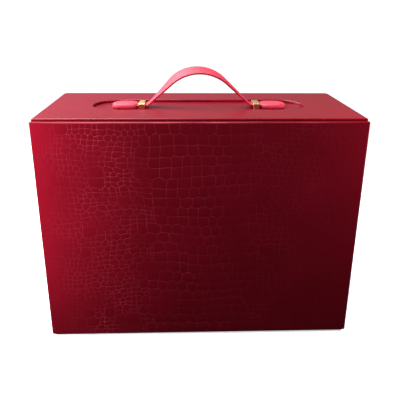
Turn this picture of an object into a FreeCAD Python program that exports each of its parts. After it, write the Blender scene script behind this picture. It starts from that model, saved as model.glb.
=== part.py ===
import FreeCAD, Part
import math
import os
import Sketcher

# A book-style presentation box that stands on its spine, with a hinged cover, a hinged top flap
# and a strap handle that slides in two metal keepers. Millimetres, front towards -Y, up is +Z.

doc = FreeCAD.newDocument("DecorativeBox")
Vector = FreeCAD.Vector

# Driving sizes
SIZES = [
    ("case_width", "346"),
    ("case_depth", "157"),
    ("case_height", "262"),
    ("board", "1.6"),
    ("wrap", "0.7"),
    ("lining", "0.4"),
    ("hinge_gap", "0.3"),
    ("cover_overhang", "2"),
    ("tray_inset", "2"),
    ("turn_in", "9"),
    ("edge_round", "1.1"),
    ("panel_corner", "2"),
    ("flap_corner", "6"),
    ("liner_board", "1.6"),
    ("slot_length", "245"),
    ("slot_width", "61"),
    ("magnet_diameter", "12"),
    ("magnet_thickness", "1.2"),
    ("magnet_spacing", "240"),
    ("magnet_inset", "18"),
    ("disc_thickness", "1.2"),
    ("fit", "0.2"),
    ("keeper_spacing", "132"),
    ("keeper_length", "7"),
    ("keeper_height", "6.4"),
    ("keeper_metal", "1.4"),
    ("keeper_round", "2.4"),
    ("keeper_edge", "0.4"),
    ("prong_width", "3"),
    ("prong_bend", "4"),
    ("prong_metal", "0.7"),
    ("plate_length", "14"),
    ("plate_margin", "3"),
    ("plate_thickness", "0.8"),
    ("strap_width", "18.4"),
    ("strap_thickness", "2.4"),
    ("strap_bevel", "0.6"),
    ("strap_play", "0.5"),
    ("crown_radius", "44.7"),
    ("foot_radius", "8"),
    ("leg_angle", "44.6"),
    ("crown_lean", "17.3"),
    ("crown_twist", "8.7"),
    ("crown_shift", "9"),
    ("crown_sway", "1.3"),
    ("tail_length", "22"),
    ("pad_gap", "0.5"),
    ("pad_length", "30.5"),
    ("pad_width", "26"),
    ("pad_thickness", "5.6"),
    ("pad_end", "12"),
    ("pad_round", "2.2"),
    ("pad_lift", "0.3"),
    ("overrun", "5"),
]

sheet = doc.addObject("Spreadsheet::Sheet", "Sizes")
for row, (alias, number) in enumerate(SIZES, 1):
    sheet.set("A%d" % row, alias)
    sheet.set("B%d" % row, number)
    sheet.setAlias("B%d" % row, alias)
doc.recompute()


class Size:
    """A length that knows its expression in the sheet and its value now."""

    def __init__(self, text, value):
        self.text = text
        self.value = float(value)

    def __add__(self, other):
        return Size("(%s + %s)" % (self.text, other.text), self.value + other.value)

    def __sub__(self, other):
        return Size("(%s - %s)" % (self.text, other.text), self.value - other.value)

    def __rmul__(self, count):
        return Size("(%s * %s)" % (count, self.text), count * self.value)

    def __truediv__(self, count):
        return Size("(%s / %s)" % (self.text, count), self.value / count)

    def __neg__(self):
        return Size("(-1 * %s)" % self.text, -self.value)


size = {alias: Size("Sizes." + alias, sheet.get(alias)) for alias, number in SIZES}
nothing = Size("0", 0)

board = size["board"]
wrap = size["wrap"]
lining = size["lining"]
gap = size["hinge_gap"]
liner_board = size["liner_board"]
overrun = size["overrun"]

# Planes that several pieces share
panel = wrap + board + lining
half_depth = size["case_depth"] / 2
cover_height = size["case_height"] - 2 * (panel + gap)
mid_height = size["case_height"] / 2
tray_top = size["case_height"] - panel - gap
tray_front = gap + panel - half_depth
tray_back = half_depth - panel
tray_half = size["case_width"] / 2 - size["tray_inset"]
wall_out = tray_half - wrap
wall_in = wall_out - board
inner_front = tray_front + wrap
inner_back = tray_back - board
under_top_wall = tray_top - wrap - board
under_liner = under_top_wall - liner_board
ceiling = under_liner - lining
on_bottom_wall = panel + board
floor_level = on_bottom_wall + lining

pieces = []


def bind(thing, prop, length):
    """Ties one property to the sheet."""
    thing.setExpression(prop, length.text)


def place(thing, x, y, z, turn=None):
    """Ties a piece's place to the sheet, with an optional turn about an axis."""
    if turn:
        thing.Placement = FreeCAD.Placement(Vector(), FreeCAD.Rotation(*turn))
    bind(thing, "Placement.Base.x", x)
    bind(thing, "Placement.Base.y", y)
    bind(thing, "Placement.Base.z", z)


def keep(thing, label):
    """Marks an object as a finished sub-part with its own name."""
    thing.Label = label
    pieces.append(thing)
    return thing


def block(name, low, high):
    """A plain sheet of board, lining or leatherette between two corners."""
    thing = doc.addObject("Part::Box", name)
    bind(thing, "Length", high[0] - low[0])
    bind(thing, "Width", high[1] - low[1])
    bind(thing, "Height", high[2] - low[2])
    place(thing, *low)
    return thing


def joined(name, parts):
    """Several solids of one sub-part, made into one where they touch."""
    thing = doc.addObject("Part::MultiFuse", name)
    thing.Shapes = parts
    thing.Refine = True
    return thing


def cut(name, base, tools):
    """A base solid less its cutting tools."""
    thing = doc.addObject("Part::Cut", name)
    thing.Base = base
    thing.Tool = tools[0] if len(tools) == 1 else joined(name + "Tools", tools)
    return thing


def plane_of(body, role):
    """One of a body's own origin planes."""
    return [f for f in body.Origin.OriginFeatures if f.Role == role][0]


def sketch_on(body, name, role, lift=None):
    """A sketch on an origin plane, lifted off it by a size from the sheet."""
    sketch = body.newObject("Sketcher::SketchObject", name)
    sketch.AttachmentSupport = [(plane_of(body, role), "")]
    sketch.MapMode = "FlatFace"
    if lift:
        bind(sketch, "AttachmentOffset.Base.z", lift)
    return sketch


def datum(sketch, kind, value, *where):
    """Adds one driving dimension and ties it to the sheet."""
    index = sketch.addConstraint(Sketcher.Constraint(kind, *where, value.value))
    sketch.setExpression("Constraints[%d]" % index, value.text)


def polygon(sketch, points):
    """A closed outline whose corners are all dimensioned from the origin."""
    first = sketch.GeometryCount
    count = len(points)
    for i in range(count):
        a = points[i]
        b = points[(i + 1) % count]
        start = Vector(a[0].value, a[1].value, 0)
        end = Vector(b[0].value, b[1].value, 0)
        sketch.addGeometry(Part.LineSegment(start, end), False)
    for i in range(count):
        after = first + (i + 1) % count
        sketch.addConstraint(Sketcher.Constraint("Coincident", first + i, 2, after, 1))
    for i, (x, y) in enumerate(points):
        datum(sketch, "DistanceX", x, -1, 1, first + i, 1)
        datum(sketch, "DistanceY", y, -1, 1, first + i, 1)


def rectangle(sketch, low, high):
    """A rectangle between two corners."""
    corners = [(low[0], low[1]), (high[0], low[1]), (high[0], high[1]), (low[0], high[1])]
    polygon(sketch, corners)


def stadium(sketch, length, width):
    """A long hole with round ends, centred on the origin."""
    first = sketch.GeometryCount
    reach = (length - width) / 2
    radius = width / 2
    x = reach.value
    r = radius.value
    quarter = math.pi / 2
    sketch.addGeometry(Part.LineSegment(Vector(-x, r, 0), Vector(x, r, 0)), False)
    right = Part.Circle(Vector(x, 0, 0), Vector(0, 0, 1), r)
    sketch.addGeometry(Part.ArcOfCircle(right, -quarter, quarter), False)
    sketch.addGeometry(Part.LineSegment(Vector(x, -r, 0), Vector(-x, -r, 0)), False)
    left = Part.Circle(Vector(-x, 0, 0), Vector(0, 0, 1), r)
    sketch.addGeometry(Part.ArcOfCircle(left, quarter, 3 * quarter), False)
    sketch.addConstraint(Sketcher.Constraint("Tangent", first, 2, first + 1, 2))
    sketch.addConstraint(Sketcher.Constraint("Tangent", first + 1, 1, first + 2, 1))
    sketch.addConstraint(Sketcher.Constraint("Tangent", first + 2, 2, first + 3, 2))
    sketch.addConstraint(Sketcher.Constraint("Tangent", first + 3, 1, first, 1))
    sketch.addConstraint(Sketcher.Constraint("Horizontal", first))
    sketch.addConstraint(Sketcher.Constraint("Horizontal", first + 2))
    sketch.addConstraint(Sketcher.Constraint("Symmetric", first + 1, 3, first + 3, 3, -1, 1))
    datum(sketch, "DistanceX", reach, -1, 1, first + 1, 3)
    datum(sketch, "Radius", radius, first + 1)


def pad(body, sketch, length, midplane=False):
    """Raises a sketch along its own normal."""
    feature = body.newObject("PartDesign::Pad", sketch.Name + "Pad")
    feature.Profile = sketch
    if midplane:
        feature.SideType = "Symmetric"
    bind(feature, "Length", length)
    return feature


def pocket(body, sketch, length):
    """Cuts along the sketch's normal, into the solid that lies ahead of it."""
    doc.recompute()
    before = body.Shape.Volume
    feature = body.newObject("PartDesign::Pocket", sketch.Name + "Pocket")
    feature.Profile = sketch
    feature.Reversed = True
    bind(feature, "Length", length)
    doc.recompute()
    if not feature.Shape.Volume < before:
        raise RuntimeError(feature.Name + " cuts nothing")
    return feature


def edges_of(base, wanted):
    """The names of those edges of a feature that the test picks out."""
    doc.recompute()
    return ["Edge%d" % i for i, e in enumerate(base.Shape.Edges, 1) if wanted(e)]


def fillet(body, base, name, radius, wanted):
    """Rounds some edges of a feature."""
    edges = edges_of(base, wanted)
    feature = body.newObject("PartDesign::Fillet", body.Name + name)
    feature.Base = (base, edges)
    bind(feature, "Radius", radius)
    return feature


def chamfer(body, base, name, width, wanted):
    """Takes the sharpness off some edges of a feature."""
    edges = edges_of(base, wanted)
    feature = body.newObject("PartDesign::Chamfer", body.Name + name)
    feature.Base = (base, edges)
    bind(feature, "Size", width)
    return feature


def upright(edge):
    """Whether an edge runs along the body's own Z axis."""
    a = edge.Vertexes[0].Point
    b = edge.Vertexes[-1].Point
    return abs(b.z - a.z) > abs(b.x - a.x) + abs(b.y - a.y)


def level_at(height):
    """A test for edges that lie flat at one height."""
    def test(edge):
        box = edge.BoundBox
        near = size["hinge_gap"].value / 2
        return abs(box.ZMin - height.value) < near and abs(box.ZMax - height.value) < near
    return test


# Covered boards: each lies face down on its own XY plane, with the outer face up
def covered_board(name, low, high, where, turn, lined=True, slot=False, corner=None):
    """A board, the leatherette turned over its edges and, where it shows, its lining."""
    slot_length = size["slot_length"]
    slot_width = size["slot_width"]
    inner = lining if lined else nothing

    def outline(sketch, inset):
        rectangle(sketch, (low[0] + inset, low[1] + inset), (high[0] - inset, high[1] - inset))
        if slot:
            stadium(sketch, slot_length + 2 * inset, slot_width + 2 * inset)

    skin = doc.addObject("PartDesign::Body", name + "_wrap")
    face = sketch_on(skin, name + "_wrap_face", "XY_Plane")
    outline(face, nothing)
    raised = pad(skin, face, panel)

    def at_corner(edge):
        box = edge.BoundBox
        outside = abs(box.XMin) > slot_length.value / 2
        return upright(edge) and outside and (corner is None or box.YMin > 0)

    radius = corner or size["panel_corner"]
    shaped = fillet(skin, raised, "_corners", radius, at_corner)
    fillet(skin, shaped, "_edges", size["edge_round"], level_at(panel))
    hollow = sketch_on(skin, name + "_board_space", "XY_Plane", inner)
    outline(hollow, wrap)
    pocket(skin, hollow, panel - wrap - inner)
    if lined:
        window = sketch_on(skin, name + "_lining_space", "XY_Plane")
        outline(window, size["turn_in"])
        pocket(skin, window, lining)
    place(skin, *where, turn)
    keep(skin, name + "_wrap")

    core = doc.addObject("PartDesign::Body", name + "_board")
    sheet_face = sketch_on(core, name + "_board_face", "XY_Plane", inner)
    outline(sheet_face, wrap)
    pad(core, sheet_face, panel - wrap - inner)
    place(core, *where, turn)
    keep(core, name + "_board")

    if lined:
        leaf = doc.addObject("PartDesign::Body", name + "_lining")
        leaf_face = sketch_on(leaf, name + "_lining_face", "XY_Plane")
        outline(leaf_face, size["turn_in"])
        pad(leaf, leaf_face, lining)
        place(leaf, *where, turn)
        keep(leaf, name + "_lining")
    return core


half_case = size["case_width"] / 2
half_cover = half_case + size["cover_overhang"]
half_tall = cover_height / 2
half_spine = half_depth - panel - gap
across = Vector(1, 0, 0)

# Front cover, spine and back
covered_board(
    "cover", (-half_cover, -half_tall), (half_cover, half_tall),
    (nothing, panel - half_depth, mid_height), (across, 90),
)
covered_board(
    "spine", (-half_case, -half_spine), (half_case, half_spine),
    (nothing, nothing, panel), (across, 180), lined=False,
)
covered_board(
    "back", (-half_case, -half_tall), (half_case, half_tall),
    (nothing, tray_back, mid_height), (across, -90), lined=False,
)

# Top flap with its long cut-out, and the magnets set into its board
flap_core = covered_board(
    "flap", (-half_case, tray_front), (half_case, half_depth),
    (nothing, nothing, size["case_height"] - panel), (across, 0),
    slot=True, corner=size["flap_corner"],
)
magnet_x = size["magnet_spacing"] / 2
magnet_y = half_depth - size["magnet_inset"]


def circle_pair(sketch, diameter):
    """Two equal circles at the magnets' places."""
    radius = diameter / 2
    for x in (-magnet_x, magnet_x):
        index = sketch.GeometryCount
        centre = Vector(x.value, magnet_y.value, 0)
        sketch.addGeometry(Part.Circle(centre, Vector(0, 0, 1), radius.value), False)
        datum(sketch, "DistanceX", x, -1, 1, index, 3)
        datum(sketch, "DistanceY", magnet_y, -1, 1, index, 3)
        datum(sketch, "Radius", radius, index)


magnet_seats = sketch_on(flap_core, "magnet_seats", "XY_Plane", lining)
circle_pair(magnet_seats, size["magnet_diameter"] + size["fit"])
pocket(flap_core, magnet_seats, size["magnet_thickness"])


def round_pair(name, bottom, thickness):
    """A pair of discs, one node."""
    discs = []
    for side, x in (("Left", -magnet_x), ("Right", magnet_x)):
        disc = doc.addObject("Part::Cylinder", name + side)
        bind(disc, "Radius", size["magnet_diameter"] / 2)
        bind(disc, "Height", thickness)
        place(disc, x, magnet_y, bottom)
        discs.append(disc)
    pair = doc.addObject("Part::Compound", name)
    pair.Links = discs
    return keep(pair, name)


round_pair("flap_magnets", size["case_height"] - panel + lining, size["magnet_thickness"])

# Webs: the thin leatherette that lies in the grooves between the covered boards
def web(name, level, level_far, depth, depth_far):
    """Two thin legs that meet in a groove's inner corner."""
    low_z, high_z = level
    low_y, high_y = depth
    flat = block(name + "Flat", (-half_case, low_y, low_z), (half_case, high_y, high_z))
    stand_y, stand_y_far = depth_far
    stand_z, stand_z_far = level_far
    stand = block(name + "Stand", (-half_case, stand_y, stand_z), (half_case, stand_y_far, stand_z_far))
    keep(joined(name, [flat, stand]), name)


groove_y = panel - half_depth
outer_y = size["edge_round"] - half_depth
web(
    "cover_hinge_web", (panel, panel + gap), (size["edge_round"], panel + gap),
    (outer_y, groove_y + gap), (groove_y, groove_y + gap),
)
roof = size["case_height"] - panel
web(
    "flap_hinge_web", (roof - gap, roof), (roof - gap, size["case_height"] - size["edge_round"]),
    (outer_y, groove_y + gap), (groove_y, groove_y + gap),
)
web(
    "spine_back_web", (panel, panel + gap), (size["edge_round"], panel + gap),
    (-(groove_y + gap), -outer_y), (-(groove_y + gap), -groove_y),
)

# Tray walls
keep(block(
    "tray_bottom_wall", (-wall_out, inner_front, panel), (wall_out, tray_back - gap, on_bottom_wall),
), "tray_bottom_wall")
keep(block(
    "tray_left_wall", (-wall_out, inner_front, on_bottom_wall), (-wall_in, tray_back, under_top_wall),
), "tray_left_wall")
keep(block(
    "tray_right_wall", (wall_in, inner_front, on_bottom_wall), (wall_out, tray_back, under_top_wall),
), "tray_right_wall")
keep(block(
    "tray_back_wall", (-wall_in, inner_back, on_bottom_wall), (wall_in, tray_back, under_top_wall),
), "tray_back_wall")

# Prong places, shared by the keepers and everything that they pass through
keeper_x = size["keeper_spacing"] / 2
keeper_half = size["strap_width"] / 2 + size["strap_play"] + size["keeper_metal"]
prong_out = keeper_half - size["fit"]
prong_in = prong_out - size["prong_metal"]
prong_half = size["prong_width"] / 2


def prong_holes(name, bottom, top):
    """Four cutting blocks, one for each prong, with a little room around it."""
    tools = []
    room = size["fit"]
    for side, x in (("L", -keeper_x), ("R", keeper_x)):
        for edge, y_low, y_high in (("Front", -prong_out, -prong_in), ("Back", prong_in, prong_out)):
            low = (x - prong_half - room, y_low - room, bottom)
            high = (x + prong_half + room, y_high + room, top)
            tools.append(block(name + edge + side, low, high))
    return tools


# Top wall with steel discs let into it, and the board that hides the handle's fixings
top_slab = block("TopSlab", (-wall_out, inner_front, under_top_wall), (wall_out, tray_back, tray_top - wrap))
disc_seats = []
for seat_side, seat_x in (("Left", -magnet_x), ("Right", magnet_x)):
    seat = doc.addObject("Part::Cylinder", "DiscSeat" + seat_side)
    bind(seat, "Radius", (size["magnet_diameter"] + size["fit"]) / 2)
    bind(seat, "Height", size["disc_thickness"] + overrun)
    place(seat, seat_x, magnet_y, tray_top - wrap - size["disc_thickness"])
    disc_seats.append(seat)
top_tools = disc_seats + prong_holes("WallProng", under_top_wall - overrun, tray_top + overrun)
keep(cut("tray_top_wall", top_slab, top_tools), "tray_top_wall")
round_pair("steel_discs", tray_top - wrap - size["disc_thickness"], size["disc_thickness"])

plate_half = size["plate_length"] / 2
plate_deep = keeper_half + size["plate_margin"]
liner_slab = block("LinerSlab", (-wall_in, inner_front, under_liner), (wall_in, inner_back, under_top_wall))
windows = []
for window_side, window_x in (("Left", -keeper_x), ("Right", keeper_x)):
    half = plate_half + size["fit"]
    deep = plate_deep + size["fit"]
    windows.append(block(
        "LinerWindow" + window_side, (window_x - half, -deep, under_liner - overrun),
        (window_x + half, deep, under_top_wall + overrun),
    ))
keep(cut("top_liner_board", liner_slab, windows), "top_liner_board")

# Leatherette over the tray's outside and its front rim
top_skin = joined("TopSkin", [
    block("TopSkinFlat", (-tray_half, tray_front, tray_top - wrap), (tray_half, tray_back, tray_top)),
    block("TopSkinRim", (-tray_half, tray_front, ceiling), (tray_half, inner_front, tray_top)),
])
skin_tools = prong_holes("SkinProng", tray_top - wrap - overrun, tray_top + overrun)
keep(cut("tray_top_wrap", top_skin, skin_tools), "tray_top_wrap")
for skin_side, sign in (("left", -1), ("right", 1)):
    name = "tray_%s_wrap" % skin_side
    body = doc.addObject("PartDesign::Body", name)
    profile = sketch_on(body, name + "_profile", "XY_Plane")
    rim_in = wall_in - lining
    polygon(profile, [
        (sign * tray_half, tray_front), (sign * tray_half, tray_back - gap),
        (sign * wall_out, tray_back - gap), (sign * wall_out, inner_front),
        (sign * rim_in, inner_front), (sign * rim_in, tray_front),
    ])
    pad(body, profile, ceiling - panel)
    place(body, nothing, nothing, panel)
    keep(body, name)
rim_half = wall_in - lining
keep(block(
    "tray_bottom_rim", (-rim_half, tray_front, panel), (rim_half, inner_front, floor_level),
), "tray_bottom_rim")

# Lining inside the tray
keep(block(
    "lining_bottom", (-wall_in, inner_front, on_bottom_wall), (wall_in, inner_back, floor_level),
), "lining_bottom")
keep(block(
    "lining_top", (-wall_in, inner_front, ceiling), (wall_in, inner_back, under_liner),
), "lining_top")
keep(block(
    "lining_left", (-wall_in, inner_front, floor_level), (lining - wall_in, inner_back, ceiling),
), "lining_left")
keep(block(
    "lining_right", (wall_in - lining, inner_front, floor_level), (wall_in, inner_back, ceiling),
), "lining_right")
keep(block(
    "lining_back", (lining - wall_in, inner_back - lining, floor_level),
    (wall_in - lining, inner_back, ceiling),
), "lining_back")

# Keepers: metal loops whose prongs pass through the top wall and are bent over a plate
def keeper(side, x):
    """One loop, its two prongs and the plate that they hold."""
    name = "keeper_" + side
    body = doc.addObject("PartDesign::Body", name)
    arch = sketch_on(body, name + "_arch", "YZ_Plane")
    inside = keeper_half - size["keeper_metal"]
    rise = size["keeper_height"]
    under = rise - size["keeper_metal"]
    polygon(arch, [
        (-keeper_half, nothing), (-keeper_half, rise), (keeper_half, rise), (keeper_half, nothing),
        (inside, nothing), (inside, under), (-inside, under), (-inside, nothing),
    ])
    loop = pad(body, arch, size["keeper_length"], midplane=True)

    def outer_corner(edge):
        box = edge.BoundBox
        along = box.XLength > size["keeper_metal"].value
        return along and box.ZMin > under.value and box.YLength < size["keeper_metal"].value

    bent = fillet(body, loop, "_bend", size["keeper_round"], outer_corner)

    def rim(edge):
        box = edge.BoundBox
        flat = box.XLength < size["keeper_edge"].value
        outside = max(abs(box.YMin), abs(box.YMax)) > inside.value + size["keeper_edge"].value
        return flat and outside and box.ZMax > size["keeper_edge"].value

    chamfer(body, bent, "_rim", size["keeper_edge"], rim)
    prong = sketch_on(body, name + "_prongs", "YZ_Plane")
    plate_under = -(wrap + board + size["plate_thickness"])
    foot = plate_under - size["prong_metal"]
    for sign in (-1, 1):
        reach = prong_in - size["prong_bend"]
        polygon(prong, [
            (sign * prong_out, nothing), (sign * prong_in, nothing), (sign * prong_in, plate_under),
            (sign * reach, plate_under), (sign * reach, foot), (sign * prong_out, foot),
        ])
    pad(body, prong, size["prong_width"], midplane=True)
    place(body, x, nothing, tray_top)
    keep(body, name)

    plate_name = "keeper_plate_" + side
    low = under_top_wall - size["plate_thickness"]
    slab = block(
        plate_name + "Slab", (x - plate_half, -plate_deep, low), (x + plate_half, plate_deep, under_top_wall),
    )
    tools = []
    room = size["fit"]
    for edge, y_low, y_high in (("Front", -prong_out, -prong_in), ("Back", prong_in, prong_out)):
        tools.append(block(
            plate_name + edge, (x - prong_half - room, y_low - room, low - overrun),
            (x + prong_half + room, y_high + room, under_top_wall + overrun),
        ))
    keep(cut(plate_name, slab, tools), plate_name)


keeper("left", -keeper_x)
keeper("right", keeper_x)

# End pads: thick ovals with a pocket that takes the strap's tail
pad_start = keeper_x + size["keeper_length"] / 2 + size["pad_gap"]
strap_bottom = size["pad_lift"] + (size["pad_thickness"] - size["strap_thickness"]) / 2
strap_level = tray_top + strap_bottom + size["strap_thickness"] / 2


def end_pad(side, x, turn):
    """One pad, built from its keeper end outwards along its own X."""
    name = "handle_end_" + side
    body = doc.addObject("PartDesign::Body", name)
    half = size["pad_width"] / 2
    tall = size["pad_thickness"]
    oval = sketch_on(body, name + "_oval", "XY_Plane")
    rectangle(oval, (nothing, -half), (size["pad_length"], half))
    slab = pad(body, oval, tall)

    def far_corner(edge):
        return upright(edge) and edge.BoundBox.XMin > size["pad_length"].value / 2

    rounded = fillet(body, slab, "_end", size["pad_end"], far_corner)
    fillet(body, rounded, "_edge", size["pad_round"], level_at(tall))
    mouth = sketch_on(body, name + "_mouth", "YZ_Plane")
    room = size["fit"]
    wide = size["strap_width"] / 2 + room
    low = (tall - size["strap_thickness"]) / 2 - room
    high = (tall + size["strap_thickness"]) / 2 + room
    rectangle(mouth, (-wide, low), (wide, high))
    pocket(body, mouth, size["tail_length"] + room)
    place(body, x, nothing, tray_top + size["pad_lift"], turn)
    keep(body, name)


upwards = Vector(0, 0, 1)
end_pad("right", pad_start, (upwards, 0))
end_pad("left", -pad_start, (upwards, 180))

# Strap: a loft along an arch that leaves the keepers flat and leans and twists towards its crown
ARCH_STEPS = 26
NUDGE_SHARE = 0.001
angle = math.radians(size["leg_angle"].value)
lean = math.radians(size["crown_lean"].value)
twist = math.radians(size["crown_twist"].value)
crown = size["crown_radius"].value
foot_bend = size["foot_radius"].value
half_span = (keeper_x - size["keeper_length"] / 2).value
leg = (half_span - (crown + foot_bend) * math.sin(angle)) / math.cos(angle)
rise = (crown + foot_bend) * (1 - math.cos(angle)) + leg * math.sin(angle)
tail = pad_start + size["tail_length"] - keeper_x + size["keeper_length"] / 2
crown_run = crown * angle
leg_run = crown_run + leg
foot_run = leg_run + foot_bend * angle


def on_arch(run):
    """Where the strap's middle line is, by the length along it from the crown."""
    along = abs(run)
    if along < crown_run:
        turned = along / crown
        x = crown * math.sin(turned)
        z = rise - crown * (1 - math.cos(turned))
    elif along < leg_run:
        done = along - crown_run
        x = crown * math.sin(angle) + done * math.cos(angle)
        z = rise - crown * (1 - math.cos(angle)) - done * math.sin(angle)
    elif along < foot_run:
        left = (foot_run - along) / foot_bend
        x = half_span - foot_bend * math.sin(left)
        z = foot_bend * (1 - math.cos(left))
    else:
        x = half_span + along - foot_run
        z = 0
    share = max(z, 0) / rise
    grown = share * share * (3 - 2 * share)
    x = math.copysign(x, run) - size["crown_sway"].value * grown
    return Vector(x, -size["crown_shift"].value * grown, z), grown


def strap_frame(run):
    """The plane of one section: its X across the strap, its normal along the strap."""
    nudge = foot_run * NUDGE_SHARE
    middle, grown = on_arch(run)
    tangent = (on_arch(run + nudge)[0] - on_arch(run - nudge)[0]).normalize()
    sway = twist * grown
    tilt = lean * grown
    side = Vector(-math.sin(sway), math.cos(sway) * math.cos(tilt), math.cos(sway) * math.sin(tilt))
    side = (side - tangent * side.dot(tangent)).normalize()
    up = tangent.cross(side)
    return FreeCAD.Placement(middle, FreeCAD.Rotation(side, up, tangent, "ZXY"))


strap = doc.addObject("PartDesign::Body", "handle_strap")
sections = []
for number in range(ARCH_STEPS + 1):
    run = foot_run * (2 * number / ARCH_STEPS - 1)
    section = sketch_on(strap, "strap_section_%d" % number, "XY_Plane")
    section.AttachmentOffset = strap_frame(run)
    wide = size["strap_width"] / 2
    thick = size["strap_thickness"] / 2
    bevel = size["strap_bevel"]
    polygon(section, [
        (-wide, bevel - thick), (bevel - wide, -thick), (wide - bevel, -thick), (wide, bevel - thick),
        (wide, thick - bevel), (wide - bevel, thick), (bevel - wide, thick), (-wide, thick - bevel),
    ])
    sections.append(section)
loft = strap.newObject("PartDesign::AdditiveLoft", "StrapLoft")
loft.Profile = sections[0]
loft.Sections = sections[1:]
pad(strap, sections[-1], tail)
pad(strap, sections[0], tail).Reversed = True
place(strap, nothing, nothing, strap_level)
keep(strap, "handle_strap")

# Check every object, then write one file for each sub-part
doc.recompute()
for thing in doc.Objects:
    if "Invalid" in thing.State or "Error" in thing.State:
        raise RuntimeError("%s: %s" % (thing.Label, thing.State))
os.makedirs("parts", exist_ok=True)
for piece in pieces:
    if piece.Shape.isNull() or not piece.Shape.isValid():
        raise RuntimeError(piece.Label + " has no valid shape")
    piece.Shape.exportStep("parts/%s.step" % piece.Label)
    box = piece.Shape.BoundBox
    print("%-22s %8.1f %8.1f %8.1f  at z %.1f" % (piece.Label, box.XLength, box.YLength, box.ZLength, box.ZMin))
print("handle rises %.1f mm, each leg %.1f mm, %d pieces" % (rise, leg, len(pieces)))
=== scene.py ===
# %% [markdown]
# # A keepsake box in embossed crimson leatherette
# The box is a case of thin boards covered with leatherette. It stands on its spine. The front
# cover folds down, a flap closes over the top, and a strap handle comes up through the flap.
# The measured solids are loaded first as a fixed frame, so each new piece goes where they say.

# %% Load the frame
import math
import random

import bmesh
import bpy
from mathutils import Matrix, Vector, noise


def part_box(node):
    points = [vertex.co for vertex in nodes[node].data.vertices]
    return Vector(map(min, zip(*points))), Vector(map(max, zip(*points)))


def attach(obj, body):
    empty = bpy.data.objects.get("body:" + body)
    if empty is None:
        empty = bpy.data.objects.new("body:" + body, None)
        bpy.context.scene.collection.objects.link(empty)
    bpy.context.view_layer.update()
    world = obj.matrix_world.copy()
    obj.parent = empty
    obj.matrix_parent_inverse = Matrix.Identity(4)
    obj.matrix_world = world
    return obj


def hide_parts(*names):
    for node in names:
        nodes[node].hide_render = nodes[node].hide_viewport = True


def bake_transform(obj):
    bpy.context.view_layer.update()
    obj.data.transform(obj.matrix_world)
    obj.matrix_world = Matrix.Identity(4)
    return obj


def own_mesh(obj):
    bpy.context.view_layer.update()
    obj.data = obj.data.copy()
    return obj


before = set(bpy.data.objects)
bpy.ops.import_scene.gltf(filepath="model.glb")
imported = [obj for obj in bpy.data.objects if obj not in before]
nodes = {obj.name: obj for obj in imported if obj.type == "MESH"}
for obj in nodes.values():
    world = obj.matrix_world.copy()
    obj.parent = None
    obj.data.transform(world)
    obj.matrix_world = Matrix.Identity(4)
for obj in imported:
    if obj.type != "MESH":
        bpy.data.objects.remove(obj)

MM = 0.001
NOISE_SEED = 4
noise.seed_set(NOISE_SEED)                 # unseeded, Blender's vector noise is new in every run
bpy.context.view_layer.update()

# %% [markdown]
# ## Colours and nodes
# Colours are picked as the hex values that a paint program shows, and a shader wants them
# linear, so one function turns them. Another adds a node with its settings and its links, and
# every finish below is made with these two.

# %% Colour and node helpers
def linear(hex_colour):
    """An sRGB hex colour as linear RGBA."""
    parts = [int(hex_colour[i:i + 2], 16) / 255 for i in (1, 3, 5)]
    bright = [((c + 0.055) / 1.055) ** 2.4 for c in parts]
    return [b if c > 0.04045 else c / 12.92 for b, c in zip(bright, parts)] + [1.0]


def wire(tree, node, sockets):
    """Give a node's sockets a value each, or a link from another node's output."""
    for name, value in sockets.items():
        if isinstance(value, bpy.types.NodeSocket):
            tree.links.new(value, node.inputs[name])
        else:
            node.inputs[name].default_value = value


def add(tree, kind, sockets, **settings):
    """Add one node with its settings and links."""
    node = tree.nodes.new("ShaderNode" + kind)
    for name, value in settings.items():
        setattr(node, name, value)
    wire(tree, node, sockets)
    return node


def new_finish(name):
    """A new material, its node tree, its main shader and the piece's own coordinates."""
    material = bpy.data.materials.new(name)
    material.use_nodes = True
    tree = material.node_tree
    spot = add(tree, "TexCoord", {}).outputs["Object"]
    return material, tree, tree.nodes["Principled BSDF"], spot


# The Mix node keeps one set of sockets for each kind of value: these are its colours.
FACTOR, COLOUR_A, COLOUR_B, COLOUR_OUT = 0, 6, 7, 2
print("crimson in linear light:", [round(c, 3) for c in linear("#7a0f1e")])

# %% [markdown]
# ## Embossed leatherette
# The cover and the back are wrapped in a coated cloth that is pressed with a reptile grain.
# The big scales are modelled below, so the finish only adds what is finer: a pore grain in
# the coating, slow changes of tone, and a painted highlight: grooves drawn paler, as if lit.

# %% Embossed leatherette finish
# A polyurethane coating over cloth, roller pressed: satin, and deep red all through.
embossed, tree, shader, spot = new_finish("embossed_leatherette_crimson")
cloud = add(tree, "TexNoise", {"Vector": spot, "Scale": 1 / (60 * MM), "Detail": 3.0})
tone = add(tree, "Mix", {
    FACTOR: cloud.outputs["Fac"], COLOUR_A: linear("#700a17"), COLOUR_B: linear("#860e23"),
}, data_type="RGBA")
# Painted highlight: marked grooves are mixed towards a pale red, as if they caught the light.
groove_highlight = add(tree, "Attribute", {}, attribute_name="groove_highlight")
tone_with_painted_light = add(tree, "Mix", {
    FACTOR: groove_highlight.outputs["Fac"], COLOUR_A: tone.outputs[COLOUR_OUT], COLOUR_B: linear("#c04656"),
}, data_type="RGBA")
# Real pores are 0.3 mm apart; they are drawn at 1.3 mm so that they show in the picture.
pores = add(tree, "TexNoise", {"Vector": spot, "Scale": 1 / (1.3 * MM), "Detail": 3.0})
dents = add(tree, "Bump", {
    "Height": pores.outputs["Fac"], "Strength": 0.35, "Distance": 0.08 * MM,
})
gloss = add(tree, "MapRange", {"Value": cloud.outputs["Fac"], "To Min": 0.40, "To Max": 0.50})
wire(tree, shader, {
    "Base Color": tone_with_painted_light.outputs[COLOUR_OUT], "Roughness": gloss.outputs[0],
    "Normal": dents.outputs[0], "Specular IOR Level": 0.35,
})
print("finish:", embossed.name)
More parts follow.
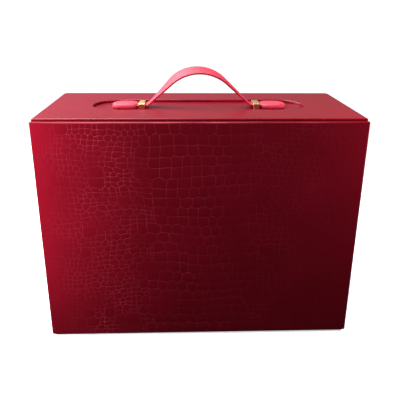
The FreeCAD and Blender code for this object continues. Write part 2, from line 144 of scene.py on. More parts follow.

# %% [markdown]
# ## Smooth leatherette
# The flap, the spine and the sides of the tray carry the same coated cloth without the big
# scales. It is glossier there: the flap mirrors the handle. Only a fine grain breaks it up. In
# the crease along the front, where the flap folds, shade is painted in as a darker red.

# %% Smooth leatherette finish
# The same coating, pressed with a plain fine grain: satin to glossy.
smooth, tree, shader, spot = new_finish("smooth_leatherette_crimson")
cloud = add(tree, "TexNoise", {"Vector": spot, "Scale": 1 / (45 * MM), "Detail": 3.0})
tone = add(tree, "Mix", {
    FACTOR: cloud.outputs["Fac"], COLOUR_A: linear("#7c0c1a"), COLOUR_B: linear("#8c0f27"),
}, data_type="RGBA")
pores = add(tree, "TexNoise", {"Vector": spot, "Scale": 1 / (1.6 * MM), "Detail": 2.0})
dents = add(tree, "Bump", {
    "Height": pores.outputs["Fac"], "Strength": 0.25, "Distance": 0.06 * MM,
})
gloss = add(tree, "MapRange", {"Value": cloud.outputs["Fac"], "To Min": 0.24, "To Max": 0.32})
# Painted shade in the crease: three ramps, full on the lower part of the flap's front edge.
flap_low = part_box("flap_wrap")[0]
place = add(tree, "SeparateXYZ", {"Vector": spot})
front = add(tree, "MapRange", {
    "Value": place.outputs["Y"],
    "From Min": flap_low.y + 0.7 * MM, "From Max": flap_low.y + 0.1 * MM,
})
under = add(tree, "MapRange", {
    "Value": place.outputs["Z"],
    "From Min": flap_low.z + 1.9 * MM, "From Max": flap_low.z + 1.2 * MM,
    "To Max": front.outputs[0],
})
crease_shade = add(tree, "MapRange", {
    "Value": place.outputs["Z"], "From Min": flap_low.z, "From Max": flap_low.z + 0.3 * MM,
    "To Max": under.outputs[0],
})
# Painted shade: the crease is mixed towards a deeper red.
tone_with_painted_light = add(tree, "Mix", {
    FACTOR: crease_shade.outputs[0], COLOUR_A: tone.outputs[COLOUR_OUT], COLOUR_B: linear("#640409"),
}, data_type="RGBA")
wire(tree, shader, {
    "Base Color": tone_with_painted_light.outputs[COLOUR_OUT], "Roughness": gloss.outputs[0],
    "Normal": dents.outputs[0], "Specular IOR Level": 0.4,
})
print("finish:", smooth.name)

# %% [markdown]
# ## Strap leather and its painted edge
# The strap and its end tabs are a brighter red than the case. They are cut from a firm,
# polished leather, and the cut edges are sealed with a paint one shade deeper.

# %% Strap finishes
# Finished split leather with a glossy top coat: bright, with a soft sheen and fine creases.
strap_leather, tree, shader, spot = new_finish("polished_strap_leather_red")
cloud = add(tree, "TexNoise", {"Vector": spot, "Scale": 1 / (18 * MM), "Detail": 3.0})
tone = add(tree, "Mix", {
    FACTOR: cloud.outputs["Fac"], COLOUR_A: linear("#c22c42"), COLOUR_B: linear("#d03a50"),
}, data_type="RGBA")
creases = add(tree, "TexNoise", {"Vector": spot, "Scale": 1 / (2.2 * MM), "Detail": 2.0})
dents = add(tree, "Bump", {
    "Height": creases.outputs["Fac"], "Strength": 0.05, "Distance": 0.03 * MM,
})
gloss = add(tree, "MapRange", {"Value": cloud.outputs["Fac"], "To Min": 0.58, "To Max": 0.66})
wire(tree, shader, {
    "Base Color": tone.outputs[COLOUR_OUT], "Roughness": gloss.outputs[0],
    "Normal": dents.outputs[0], "Specular IOR Level": 0.7,
})

# Edge paint, brushed on in two coats: deeper, a little uneven, half matt.
edge_paint, tree, shader, spot = new_finish("leather_edge_paint_red")
coats = add(tree, "TexNoise", {"Vector": spot, "Scale": 1 / (3 * MM), "Detail": 2.0})
tone = add(tree, "Mix", {
    FACTOR: coats.outputs["Fac"], COLOUR_A: linear("#ac1d34"), COLOUR_B: linear("#c02840"),
}, data_type="RGBA")
dents = add(tree, "Bump", {
    "Height": coats.outputs["Fac"], "Strength": 0.3, "Distance": 0.1 * MM,
})
wire(tree, shader, {
    "Base Color": tone.outputs[COLOUR_OUT], "Roughness": 0.5, "Normal": dents.outputs[0],
})
print("finishes:", strap_leather.name, edge_paint.name)

# %% [markdown]
# ## Gilt metal
# The keepers are bent from brass strip, polished and thinly gilt. A metal has no colour of its
# own under the shine, so the tint is in the reflection, with faint brushing and fingermarks.

# %% Gilt metal finish
# Polished gilt brass: warm mirror with fine lines left by the polishing wheel.
gilt, tree, shader, spot = new_finish("polished_gilt_brass")
stretch = add(tree, "Mapping", {"Vector": spot, "Scale": (1.0, 0.12, 1.0)})
lines = add(tree, "TexNoise", {
    "Vector": stretch.outputs[0], "Scale": 1 / (0.5 * MM), "Detail": 2.0,
})
marks = add(tree, "TexNoise", {"Vector": spot, "Scale": 1 / (5 * MM), "Detail": 3.0})
tint = add(tree, "Mix", {
    FACTOR: marks.outputs["Fac"], COLOUR_A: linear("#eac688"), COLOUR_B: linear("#fce6b8"),
}, data_type="RGBA")
scratch = add(tree, "Bump", {
    "Height": lines.outputs["Fac"], "Strength": 0.2, "Distance": 0.03 * MM,
})
gloss = add(tree, "MapRange", {"Value": marks.outputs["Fac"], "To Min": 0.36, "To Max": 0.48})
wire(tree, shader, {
    "Base Color": tint.outputs[COLOUR_OUT], "Metallic": 1.0, "Roughness": gloss.outputs[0],
    "Normal": scratch.outputs[0],
})

# Nickelled steel, for the magnets and discs that the covering hides.
steel, tree, shader, spot = new_finish("nickelled_steel")
marks = add(tree, "TexNoise", {"Vector": spot, "Scale": 1 / (3 * MM), "Detail": 3.0})
gloss = add(tree, "MapRange", {"Value": marks.outputs["Fac"], "To Min": 0.28, "To Max": 0.42})
wire(tree, shader, {
    "Base Color": linear("#b9b8b4"), "Metallic": 1.0, "Roughness": gloss.outputs[0],
})
print("finishes:", gilt.name, steel.name)

# %% [markdown]
# ## Lining and board
# Inside, the boards are lined with a flocked paper that feels like suede. The boards under the
# covering are grey millboard. A flock has a soft glow at grazing angles, which sheen gives.

# %% Lining and board finishes
# Flocked suede paper: matt, a short nap brushed in drifts, a pale glow along its outline.
lining, tree, shader, spot = new_finish("suede_lining_paper_beige")
drift = add(tree, "TexNoise", {"Vector": spot, "Scale": 1 / (22 * MM), "Detail": 4.0})
tone = add(tree, "Mix", {
    FACTOR: drift.outputs["Fac"], COLOUR_A: linear("#b79c79"), COLOUR_B: linear("#d2bb9a"),
}, data_type="RGBA")
# The nap is 0.2 mm; it is drawn at 0.9 mm so that it shows.
nap = add(tree, "TexNoise", {"Vector": spot, "Scale": 1 / (0.9 * MM), "Detail": 2.0})
fuzz = add(tree, "Bump", {"Height": nap.outputs["Fac"], "Strength": 0.5, "Distance": 0.12 * MM})
wire(tree, shader, {
    "Base Color": tone.outputs[COLOUR_OUT], "Roughness": 0.9, "Normal": fuzz.outputs[0],
    "Sheen Weight": 0.4, "Sheen Roughness": 0.5, "Specular IOR Level": 0.2,
})

# Grey millboard: recycled fibre, matt and speckled.
millboard, tree, shader, spot = new_finish("grey_millboard")
fibre = add(tree, "TexNoise", {"Vector": spot, "Scale": 1 / (1.5 * MM), "Detail": 4.0})
tone = add(tree, "Mix", {
    FACTOR: fibre.outputs["Fac"], COLOUR_A: linear("#8d877d"), COLOUR_B: linear("#a9a398"),
}, data_type="RGBA")
wire(tree, shader, {"Base Color": tone.outputs[COLOUR_OUT], "Roughness": 0.95})
print("finishes:", lining.name, millboard.name)

# %% [markdown]
# ## Dress the solids that keep their shape
# Boards, walls, linings and metal fittings are already right as solids, so they only take a
# finish. Each node's name says what it is. The tray's walls and the boards behind and below it
# show only at their edges, where the cloth is turned in, so they take the leatherette.

# %% Finishes on the solids
def finish_for(name):
    """The finish that a node takes, by the word in its name."""
    words = (
        ("lining", lining), ("cover_board", millboard), ("flap_board", millboard),
        ("keeper_plate", steel), ("keeper", gilt), ("magnets", steel), ("discs", steel),
    )
    for word, finish in words:
        if word in name:
            return finish
    return smooth


for name, node in nodes.items():
    node.data.materials.clear()
    node.data.materials.append(finish_for(name))
print("dressed:", len(nodes), "solids")

# %% [markdown]
# ## From bmesh to a riding piece
# Every new piece ends the same way: the mesh becomes an object at the origin, takes its finishes,
# stands for the solid that it covers, and rides on that solid's body.

# %% Piece helper
def finish_piece(name, bm, finishes, covered, body=None, sharp=40):
    """Make an object of a bmesh, and let it stand for the covered nodes."""
    bmesh.ops.recalc_face_normals(bm, faces=bm.faces)
    mesh = bpy.data.meshes.new(name)
    bm.to_mesh(mesh)
    bm.free()
    for finish in finishes:
        mesh.materials.append(finish)
    mesh.shade_smooth()
    mesh.set_sharp_from_angle(angle=math.radians(sharp))
    piece = bpy.data.objects.new(name, mesh)
    bpy.context.scene.collection.objects.link(piece)
    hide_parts(*covered)
    if body:
        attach(piece, body)
    mesh.calc_loop_triangles()
    print("piece:", name, len(mesh.loop_triangles), "triangles")
    return piece


# %% [markdown]
# ## The scale pattern
# A reptile grain has rows of squarish belly scales down the middle and small round ones on the
# flanks. A bump map would do for a distant shot, but real relief keeps its shape at the edges
# and in raking light. So a fine grid is laid out flat, its cells are joined in runs, brick
# fashion, and its corners are pulled about, until the cells look grown.

# %% Lay out the scales
COLUMNS, ROWS = 112, 44
BELLY, RAGGED = 17, 3                      # half the belly's width in columns, and its play
BAND_RUNS, SMALL_RUNS, BELLY_RUNS = (4, 5, 6, 7), (2, 2, 3), (3, 3, 4)
BIG_RUN, BIG_SHARE = 6, 0.22               # runs under this width may become one big scale


def cut_up(start, stop, widths, chance):
    """Cut a row of cells into runs of chosen widths."""
    while start < stop:
        wide = min(chance.choice(widths), stop - start)
        yield range(start, start + wide)
        start += wide


def flank(start, stop, row, chance):
    """Scales on a flank, in a band of two rows: a few big ones, the rest one row tall."""
    for run in cut_up(start, stop, BAND_RUNS, chance):
        if len(run) < BIG_RUN and chance.random() < BIG_SHARE:
            yield [(c, r) for c in run for r in (row, row + 1)]
            continue
        for r in (row, row + 1):
            for part in cut_up(run.start, run.stop, SMALL_RUNS, chance):
                yield [(c, r) for c in part]


def lay_out_scales(chance):
    """A grid on XY, one unit each way, whose cells are joined into single scales."""
    bm = bmesh.new()
    bmesh.ops.create_grid(bm, x_segments=COLUMNS, y_segments=ROWS, size=0.5)
    cells = {}
    for face in bm.faces:
        spot = face.calc_center_median()
        cells[int((spot.x + 0.5) * COLUMNS), int((spot.y + 0.5) * ROWS)] = face
    scales = []
    for row in range(0, ROWS, 2):
        left = COLUMNS // 2 - BELLY + chance.randint(-RAGGED, RAGGED)
        right = COLUMNS // 2 + BELLY + chance.randint(-RAGGED, RAGGED)
        scales += flank(0, left, row, chance)
        scales += flank(right, COLUMNS, row, chance)
        for run in cut_up(left, right, BELLY_RUNS, chance):
            scales.append([(c, r) for c in run for r in (row, row + 1)])
    for scale in scales:
        if len(scale) > 1:
            bmesh.utils.face_join([cells[cell] for cell in scale], True)
    return bm


print("grid for the scales:", COLUMNS, "by", ROWS, "cells")

# %% [markdown]
# The columns are spread wider towards the middle of the sheet. Where a seam runs up from a row
# line, its foot is pulled up, and where it runs down, it is pulled down, which rounds the cells.
# A slow drift bends the rows, a quicker one stirs the flanks, each corner wanders by about a
# millimetre, and a little smoothing settles them. Corners on the sheet's outline only slide
# along it.

# %% Pull the scales about
SWELL = 1.2                                # how much wider the middle columns are
SLOW, SLOW_BY = 70 * MM, 7.0 * MM          # size of a drift's swirls, and how far it carries
QUICK, QUICK_BY = 17 * MM, 2.5 * MM
SWIRLS = Vector((3.1, 7.7, 1.3))           # where in the noise the slow drift is read
FLANK_PULL, BELLY_PULL, WANDER = 1.5 * MM, 0.4 * MM, 1.2 * MM
CALM = 8                                   # the drift fades over an eighth of the sheet


def pull(vert):
    """Up, down or not at all, by the seams that leave a row line here."""
    rises = [e.other_vert(vert).co.y - vert.co.y for e in vert.link_edges]
    step = 0.5 / ROWS
    return any(r > step for r in rises) - any(r < -step for r in rises)


def grow_scales(bm, width, height, chance):
    """Spread the grid to the sheet's size and make its cells look grown."""
    pulls = {vert: pull(vert) for vert in bm.verts}
    for vert in bm.verts:
        u, v = vert.co.x, vert.co.y
        free_x, free_y = abs(u) < 0.499, abs(v) < 0.499
        spot = Vector((width * (SWELL * u - 4 * (SWELL - 1) * u ** 3), height * v, 0.0))
        drift = noise.noise_vector(spot / SLOW + SWIRLS) * SLOW_BY
        drift += noise.noise_vector(spot / QUICK) * QUICK_BY * min(1.0, 4 * abs(u))
        drift *= min(1.0, CALM * (0.5 - abs(u)), CALM * (0.5 - abs(v)))
        swing = FLANK_PULL if abs(u) > BELLY / COLUMNS else BELLY_PULL
        if free_x:
            spot.x += drift.x + chance.uniform(-WANDER, WANDER)
        if free_y:
            spot.y += drift.y + chance.uniform(-WANDER, WANDER) + pulls[vert] * swing
        vert.co = spot
    inside = [v for v in bm.verts if not v.is_boundary]
    for _ in range(2):
        bmesh.ops.smooth_vert(bm, verts=inside, factor=0.3, use_axis_x=True, use_axis_y=True)


# %% [markdown]
# ## From scales to a wrapped board
# Each scale is inset twice and lifted, which leaves a groove between it and its neighbours and a
# soft shoulder round its top. The press bites unevenly: in patches, and less towards the left and
# right edges, most of all on the right. Each groove is marked by how deep the press bit, and the
# embossed finish paints a highlight there, so the marked grooves look lit.

# %% Emboss the scales
GROOVE, GROOVE_HALF = 0.15 * MM, 0.25 * MM
SHOULDER, SHOULDER_WIDE = 0.05 * MM, 0.45 * MM
RELIEF = GROOVE + SHOULDER
EDGE, CORNER = 1.1 * MM, 2.0 * MM          # rounding of the board's edge and of its corners
FADE_SIDES, FADE_RIGHT = 70 * MM, 190 * MM
PATCH, BITE_MEAN, BITE_SWING = 26 * MM, 0.65, 0.9
LEAST = 0.2                                # the share of the relief that stays everywhere


def emboss(bm):
    """Lift every scale out of the sheet, and mark the grooves where the finish paints a highlight.
    """
    outline = [v for v in bm.verts if len(v.link_edges) == 2 and len(v.link_faces) == 1]
    ends = sorted(outline, key=lambda v: abs(v.co.x) + abs(v.co.y))[-4:]
    bmesh.ops.bevel(
        bm, geom=ends, offset=CORNER - EDGE, offset_type="OFFSET", segments=3,
        profile=0.5, affect="VERTICES", material=-1,
    )
    # The groove mark: where it is set, the embossed finish paints a highlight.
    low = bm.verts.layers.float.new("groove_highlight")
    for vert in bm.verts:
        vert[low] = 1.0
    scales = bm.faces[:]
    for inset, lift in ((GROOVE_HALF, GROOVE), (SHOULDER_WIDE, SHOULDER)):
        bmesh.ops.inset_individual(
            bm, faces=scales, thickness=inset, depth=lift, use_even_offset=True,
        )
    reach = max(v.co.x for v in bm.verts)
    for vert in bm.verts:
        x = vert.co.x
        bite = min(1.0, (reach - abs(x)) / FADE_SIDES, (reach - x) / FADE_RIGHT)
        bite *= BITE_MEAN + BITE_SWING * noise.noise(vert.co / PATCH)
        bite = max(bite, 0.0)
        vert[low] = bite if vert.co.z < GROOVE / 2 else 0.0
        vert.co.z = RELIEF - (RELIEF - vert.co.z) * (LEAST + (1 - LEAST) * bite)
    return len(scales)


# %% [markdown]
# Then the sheet's outline is extruded ring by ring: over the rounded edge, down the side, and in
# under the board, as the wrapper's glued turn-in goes. A ring is the outline, extruded once more
# and scaled out or in, then dropped. The list of rings is the section of a covered board's edge.

# %% Wrap the edges
UNDER_EDGE = 0.3 * MM


def wrap_edges(bm, half, rings):
    """Extrude the outline through rings of (reach beyond the start, drop), and close it."""
    edges = [e for e in bm.edges if e.is_boundary]
    now_reach, now_drop = 0.0, 0.0
    for reach, drop in rings:
        made = bmesh.ops.extrude_edge_only(bm, edges=edges)["geom"]
        verts = [g for g in made if isinstance(g, bmesh.types.BMVert)]
        edges = [g for g in made if isinstance(g, bmesh.types.BMEdge) and g.is_boundary]
        wider = [(h + reach) / (h + now_reach) for h in half]
        bmesh.ops.scale(bm, verts=verts, vec=(wider[0], wider[1], 1.0))
        bmesh.ops.translate(bm, verts=verts, vec=(0.0, 0.0, now_drop - drop))
        now_reach, now_drop = reach, drop
    bmesh.ops.edgeloop_fill(bm, edges=edges)


def rounded_edge(thick, turn_in, sunk):
    """Rings for a board's edge: a quarter round, the side, the turn-in and its inner step."""
    turns = [math.radians(a) for a in (22.5, 45, 67.5, 90)]
    rings = [(EDGE * math.sin(a), EDGE * (1 - math.cos(a))) for a in turns]
    rings += [(EDGE, thick - UNDER_EDGE), (EDGE - UNDER_EDGE, thick)]
    return rings + [(EDGE - turn_in, thick), (EDGE - turn_in, thick - sunk)]


# %% [markdown]
# ## Cover and back
# Both panels are made flat on the floor plane, then stood up: the cover is turned to face the
# front and the back panel to face the rear. Their sizes come from the solids that they stand for.

# %% Cover and back panels
TURN_IN = 9.0 * MM


def embossed_panel(name, node, facing, sunk, seed, body):
    """A covered board with scales, in the place of a solid; facing is -1 front, 1 back."""
    low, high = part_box(node)
    size, middle = high - low, (high + low) / 2
    half = (size.x / 2 - EDGE, size.z / 2 - EDGE)
    chance = random.Random(seed)
    bm = lay_out_scales(chance)
    grow_scales(bm, 2 * half[0], 2 * half[1], chance)
    count = emboss(bm)
    wrap_edges(bm, half, rounded_edge(size.y - RELIEF, TURN_IN, sunk))
    stand = Matrix.Rotation(math.radians(-90 * facing), 4, "X")
    face = high.y - RELIEF if facing > 0 else low.y + RELIEF
    place = Matrix.Translation((middle.x, face, middle.z)) @ stand
    bmesh.ops.transform(bm, matrix=place, verts=bm.verts)
    print("scales:", count)
    finish_piece(name, bm, [embossed], [node], body, sharp=50)


embossed_panel("cover_leather", "cover_wrap", -1, sunk=0.45 * MM, seed=11, body="cover")
embossed_panel("back_leather", "back_wrap", 1, sunk=0.1 * MM, seed=23, body="tray")

# %% [markdown]
# ## The strap's path
# A strap is cut flat and then bent by hand, so it is made that way here too. Its middle line is
# an arch: a round crown, two straight legs and a small bend at each foot. Up towards the crown it
# leans forward and twists a little, as it does when it is left standing after use.

# %% Strap path
CROWN, FOOT, LEG_ANGLE = 44.7 * MM, 8.0 * MM, math.radians(44.6)
LEAN, TWIST = math.radians(17.3), math.radians(8.7)
FORWARD, SWAY = 9.0 * MM, 1.3 * MM
STRAP_WIDE, STRAP_THICK = 18.4 * MM, 2.4 * MM
pad_low, pad_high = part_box("handle_end_right")
strap_level = (pad_low.z + pad_high.z) / 2
half_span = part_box("keeper_right")[0].x
strap_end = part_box("handle_strap")[1].x
leg = (half_span - (CROWN + FOOT) * math.sin(LEG_ANGLE)) / math.cos(LEG_ANGLE)
rise = (CROWN + FOOT) * (1 - math.cos(LEG_ANGLE)) + leg * math.sin(LEG_ANGLE)
crown_run = CROWN * LEG_ANGLE
foot_run = crown_run + leg + FOOT * LEG_ANGLE
strap_run = foot_run + strap_end - half_span


def on_path(run):
    """The strap's middle line by the length from its crown, and how far up the arch it is."""
    along = abs(run)
    if along < crown_run:
        x = CROWN * math.sin(along / CROWN)
        z = rise - CROWN * (1 - math.cos(along / CROWN))
    elif along < crown_run + leg:
        done = along - crown_run
        x = CROWN * math.sin(LEG_ANGLE) + done * math.cos(LEG_ANGLE)
        z = rise - CROWN * (1 - math.cos(LEG_ANGLE)) - done * math.sin(LEG_ANGLE)
    elif along < foot_run:
        left = (foot_run - along) / FOOT
        x, z = half_span - FOOT * math.sin(left), FOOT * (1 - math.cos(left))
    else:
        x, z = half_span + along - foot_run, 0.0
    share = z / rise
    height = share * share * (3 - 2 * share)
    x = math.copysign(x, run) - SWAY * height
    return Vector((x, -FORWARD * height, strap_level + z)), height


print("strap rises", round(rise / MM, 1), "mm on legs of", round(leg / MM, 1), "mm")

# %% [markdown]
# Each point of the flat strap has a length along it, a distance across it and a height. Bending
# reads the middle line at that length and lays the other two along the strap's own directions.

# %% Bend the strap
PAINTED_EDGE, DOME, STRAP_STEPS = 0.55 * MM, 0.3 * MM, 120


def bent(flat):
    """A point of the flat strap, carried onto the arch."""
    middle, height = on_path(flat.x)
    step = 0.05 * MM
    ahead = (on_path(flat.x + step)[0] - on_path(flat.x - step)[0]).normalized()
    twist, lean = TWIST * height, LEAN * height
    across = math.cos(twist)
    side = Vector((-math.sin(twist), across * math.cos(lean), across * math.sin(lean)))
    side = (side - ahead * side.dot(ahead)).normalized()
    return middle + side * flat.y + ahead.cross(side) * flat.z


def flat_strap(length, width, thick, steps):
    """A flat strip with a slightly domed top and eased, painted edges."""
    bm = bmesh.new()
    bmesh.ops.create_grid(bm, x_segments=steps, y_segments=6, size=0.5)
    bmesh.ops.scale(bm, verts=bm.verts, vec=(length, width, 1.0))
    bmesh.ops.translate(bm, verts=bm.verts, vec=(0.0, 0.0, -thick / 2))
    top = bmesh.ops.extrude_face_region(bm, geom=bm.faces[:])["geom"]
    bmesh.ops.translate(
        bm, verts=[g for g in top if isinstance(g, bmesh.types.BMVert)], vec=(0.0, 0.0, thick),
    )
    rims = [e for e in bm.edges if all(abs(v.co.y) > width * 0.499 for v in e.verts)]
    rims = [e for e in rims if abs(e.verts[0].co.z - e.verts[1].co.z) < thick / 2]
    bmesh.ops.bevel(
        bm, geom=rims, offset=PAINTED_EDGE, offset_type="OFFSET", segments=2,
        profile=0.5, affect="EDGES", material=-1,
    )
    bm.normal_update()
    for face in bm.faces:
        face.material_index = 1 if abs(face.normal.y) > 0.5 else 0
    for vert in bm.verts:
        if vert.co.z > 0:
            vert.co.z -= DOME * (2 * vert.co.y / width) ** 2
    return bm


bm = flat_strap(2 * strap_run, STRAP_WIDE, STRAP_THICK, STRAP_STEPS)
bmesh.ops.recalc_face_normals(bm, faces=bm.faces)
for vert in bm.verts:
    vert.co = bent(vert.co)
strap = finish_piece(
    "strap", bm, [strap_leather, edge_paint], ["handle_strap"], "tray", sharp=55,
)
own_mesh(strap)

# %% [markdown]
# ## End tabs
# A thick tab of layered leather is sewn on each end of the strap. It stops at the keeper when
# the handle is up. Its outline is a flat patch with rounded corners. The outline is then taken up
# ring by ring, out over a rolled edge and in again over the crown.

# %% End tabs
TUCK = 0.7 * MM                            # how far the foot stands in from the rolled edge
FAR_ROUND, NEAR_ROUND = 11.8 * MM, 10.0 * MM
# Rings from foot to crown: reach in tucks, and height as a share of the tab's.
TAB_SECTION = (
    (0.6, 0.05), (1.0, 0.14), (1.0, 0.45), (0.7, 0.64), (0.0, 0.77),
    (-1.3, 0.87), (-3.3, 0.93), (-6.0, 0.97), (-9.0, 1.0),
)


def ease(bm, geom, width, segments, affect="EDGES"):
    """Round some edges, or the corners of a flat patch."""
    bmesh.ops.bevel(
        bm, geom=geom, offset=width, offset_type="OFFSET", segments=segments,
        profile=0.5, affect=affect, material=-1,
    )


def end_tab(name, node, body):
    """A crowned tab in the place of a solid."""
    low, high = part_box(node)
    size, middle = high - low, (high + low) / 2
    outwards = math.copysign(1.0, middle.x)
    half = (size.x / 2 - TUCK, size.y / 2 - TUCK)
    bm = bmesh.new()
    bmesh.ops.create_grid(bm, x_segments=1, y_segments=1, size=1.0)
    bmesh.ops.scale(bm, verts=bm.verts, vec=(half[0], half[1], 1.0))
    far = [v for v in bm.verts if v.co.x * outwards > 0]
    near = [v for v in bm.verts if v.co.x * outwards < 0]
    ease(bm, far, FAR_ROUND, 14, "VERTICES")
    ease(bm, near, NEAR_ROUND, 12, "VERTICES")
    wrap_edges(bm, half, [(out * TUCK, -up * size.z) for out, up in TAB_SECTION])
    bmesh.ops.translate(bm, verts=bm.verts, vec=(middle.x, middle.y, low.z))
    finish_piece(name, bm, [strap_leather], [node], body, sharp=70)


end_tab("end_tab_left", "handle_end_left", "handle_end_left")
end_tab("end_tab_right", "handle_end_right", "handle_end_right")

# %% [markdown]
# ## Folds in the grooves
# Between two covered boards the leatherette runs on alone, pressed into the groove, and that is
# the hinge. Each fold is a strip of two legs that meet in a rounded corner. A line is extruded
# twice, its corner is rounded, and solidify gives it thickness. The two folds at the moving
# joints ride on no body, the third stays with the tray.

# %% Groove folds
CLOTH, FOLD_ROUND, FOLD_CUTS = 0.22 * MM, 0.5 * MM, 16
GROOVE_PLAY = 0.15 * MM                    # the fold's corner stands this far off the boards


def fold(name, node, corner, body=None):
    """A strip with a flat leg and a standing leg that meet at corner (y, z)."""
    low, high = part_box(node)
    flat_y = low.y if abs(low.y - corner[0]) > abs(high.y - corner[0]) else high.y
    stand_z = low.z if abs(low.z - corner[1]) > abs(high.z - corner[1]) else high.z
    bm = bmesh.new()
    start = [bm.verts.new((x, flat_y, corner[1])) for x in (low.x, high.x)]
    edges = [bm.edges.new(start)]
    for shift in ((0.0, corner[0] - flat_y, 0.0), (0.0, 0.0, stand_z - corner[1])):
        made = bmesh.ops.extrude_edge_only(bm, edges=edges)["geom"]
        verts = [g for g in made if isinstance(g, bmesh.types.BMVert)]
        edges = [g for g in made if isinstance(g, bmesh.types.BMEdge) and g.is_boundary]
        edges = [e for e in edges if all(v in verts for v in e.verts)]
        bmesh.ops.translate(bm, verts=verts, vec=shift)
    inner = [e for e in bm.edges if len(e.link_faces) == 2]
    ease(bm, inner, FOLD_ROUND, 4)
    half = (high.x - low.x) / 2
    lengthwise = [e for e in bm.edges if abs(e.verts[0].co.x - e.verts[1].co.x) > half]
    bmesh.ops.subdivide_edges(bm, edges=lengthwise, cuts=FOLD_CUTS, use_grid_fill=True)
    bmesh.ops.solidify(bm, geom=bm.faces[:], thickness=CLOTH)
    return finish_piece(name, bm, [smooth], [node], body)


groove_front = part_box("spine_wrap")[0].y - GROOVE_PLAY
groove_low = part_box("cover_wrap")[0].z - GROOVE_PLAY
groove_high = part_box("cover_wrap")[1].z + GROOVE_PLAY
cover_fold = fold("cover_fold", "cover_hinge_web", (groove_front, groove_low))
flap_fold = fold("flap_fold", "flap_hinge_web", (groove_front, groove_high))
fold("back_fold", "spine_back_web", (-groove_front, groove_low), "tray")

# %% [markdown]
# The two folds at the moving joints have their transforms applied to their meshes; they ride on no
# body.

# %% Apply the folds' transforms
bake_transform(cover_fold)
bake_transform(flap_fold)
print("folds bend at y", round(groove_front / MM, 2), "mm")

# %% [markdown]
# ## Floor
# The box stands on a round sheet of pale paper. The paper glows a little, so it stays white, and
# it throws no red back: it is hidden from the light that bounces between the pieces.

# %% Floor
paper, tree, shader, spot = new_finish("pale_studio_paper")
wash = add(tree, "TexNoise", {"Vector": spot, "Scale": 1 / (300 * MM), "Detail": 2.0})
tone = add(tree, "Mix", {
    FACTOR: wash.outputs["Fac"], COLOUR_A: linear("#f2f2f1"), COLOUR_B: linear("#f7f7f6"),
}, data_type="RGBA")
wire(tree, shader, {
    "Base Color": tone.outputs[COLOUR_OUT], "Roughness": 0.9,
    "Emission Color": tone.outputs[COLOUR_OUT], "Emission Strength": 0.6,
})
bm = bmesh.new()
bmesh.ops.create_circle(bm, cap_ends=True, segments=96, radius=1.1)
bmesh.ops.translate(bm, verts=bm.verts, vec=(0.0, 0.0, -0.1 * MM))
mesh = bpy.data.meshes.new("floor")
bm.to_mesh(mesh)
bm.free()
mesh.materials.append(paper)
floor = bpy.data.objects.new("floor", mesh)
bpy.context.scene.collection.objects.link(floor)
floor.visible_diffuse = False
floor.visible_glossy = False
print("floor:", len(mesh.vertices), "corners")

# %% [markdown]
# ## Lights
# A tall strip close by on the left rakes across the front, and the light falls off to the right.
# It is seen as through a polariser: it lights the cloth, but no piece mirrors it. The small fill
# on the right is treated the same way. A wide light overhead lifts the flap, a narrow one in
# front of it catches the edges, and a broad one on the left brightens the handle. A gridded light
# points low in front of the box, where the flap lies when the cover is down.

# %% Lights
def soft_light(name, spot, aim, wide, tall, watts, mirrored=True, spread=180):
    """An area light that faces a point. One behind a polariser is not mirrored."""
    light = bpy.data.lights.new(name, "AREA")
    light.shape = "RECTANGLE"
    light.size, light.size_y = wide, tall
    light.energy = watts
    light.spread = math.radians(spread)
    lamp = bpy.data.objects.new(name, light)
    lamp.location = spot
    lamp.rotation_euler = (Vector(aim) - Vector(spot)).to_track_quat("-Z", "Y").to_euler()
    lamp.visible_camera = False
    lamp.visible_glossy = mirrored
    light.cycles.use_multiple_importance_sampling = mirrored
    bpy.context.scene.collection.objects.link(lamp)
    print("light:", name, watts, "W")


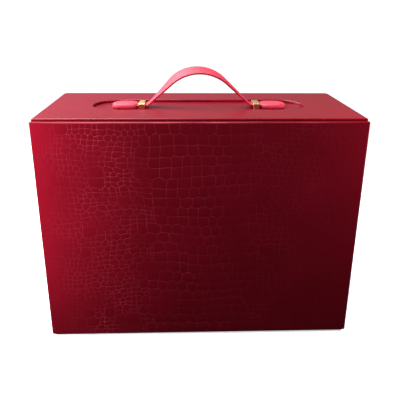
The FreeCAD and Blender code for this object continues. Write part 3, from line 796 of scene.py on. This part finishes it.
soft_light(
    "window", (-0.3, -0.195, 0.32), (-0.3, -0.08, 0.32),
    wide=0.1, tall=0.51, watts=2.9, mirrored=False,
)
soft_light(
    "overhead", (-0.45, 0.2, 0.95), (-0.1, 0.12, 0.26), wide=0.9, tall=0.8, watts=18.0,
)
soft_light(
    "top_front", (-0.1, -0.22, 0.9), (0.0, -0.05, 0.26), wide=0.6, tall=0.2, watts=1.3,
)
soft_light(
    "left_wall", (-0.9, 0.33, 0.35), (0.1, 0.1, 0.27), wide=0.8, tall=0.6, watts=8.0,
)
soft_light(
    "right_fill", (0.377, -0.13, 0.33), (0.17, -0.08, 0.25),
    wide=0.15, tall=0.15, watts=1.6, mirrored=False,
)
soft_light(
    "front_grid", (0.0, -0.5, 0.5), (0.0, -0.34, 0.08),
    wide=0.3, tall=0.1, watts=0.35, spread=36,
)

# %% [markdown]
# ## Room
# The room is dark in front of the box and brighter behind it, cool on the left and warm on the
# right. The camera itself sees a white sweep instead of the room.

# %% Room
world = bpy.data.worlds.new("studio")
world.use_nodes = True
tree = world.node_tree
towards = add(tree, "SeparateXYZ", {"Vector": add(tree, "TexCoord", {}).outputs["Generated"]})
behind = add(tree, "MapRange", {
    "Value": towards.outputs["Y"],
    "From Min": -0.1, "From Max": 0.5, "To Min": 0.012, "To Max": 0.28,
})
aside = add(tree, "MapRange", {"Value": towards.outputs["X"], "From Min": -0.3, "From Max": 0.4})
tint = add(tree, "Mix", {
    FACTOR: aside.outputs[0], COLOUR_A: linear("#f4f2ff"), COLOUR_B: linear("#d8cbbf"),
}, data_type="RGBA")
room = add(tree, "Background", {"Color": tint.outputs[COLOUR_OUT], "Strength": behind.outputs[0]})
sweep = add(tree, "Background", {"Color": linear("#ffffff"), "Strength": 1.1})
seen = add(tree, "LightPath", {})
both = add(tree, "MixShader", {
    0: seen.outputs["Is Camera Ray"], 1: room.outputs[0], 2: sweep.outputs[0],
})
wire(tree, tree.nodes["World Output"], {"Surface": both.outputs[0]})
bpy.context.scene.world = world
bpy.context.scene.view_settings.view_transform = "Standard"
print("room:", world.name)

# %% [markdown]
# ## Camera
# The camera's place and lens were worked out from the corners of the box in the photograph. The
# frame is shifted a little, because the picture was cropped.

# %% Camera
lens = bpy.data.cameras.new("camera")
lens.lens = 44.07
lens.shift_y = -0.05
camera = bpy.data.objects.new("camera", lens)
camera.location = (-19.8 * MM, -568.5 * MM, 372.7 * MM)
yaw, pitch, roll = (math.radians(a) for a in (-2.161, 90 - 19.788, 0.406))
aim = Matrix.Rotation(yaw, 3, "Z") @ Matrix.Rotation(pitch, 3, "X")
aim = aim @ Matrix.Rotation(roll, 3, "Z")
camera.rotation_euler = aim.to_euler()
bpy.context.scene.collection.objects.link(camera)
bpy.context.scene.camera = camera
print("camera at", [round(c, 3) for c in camera.location])
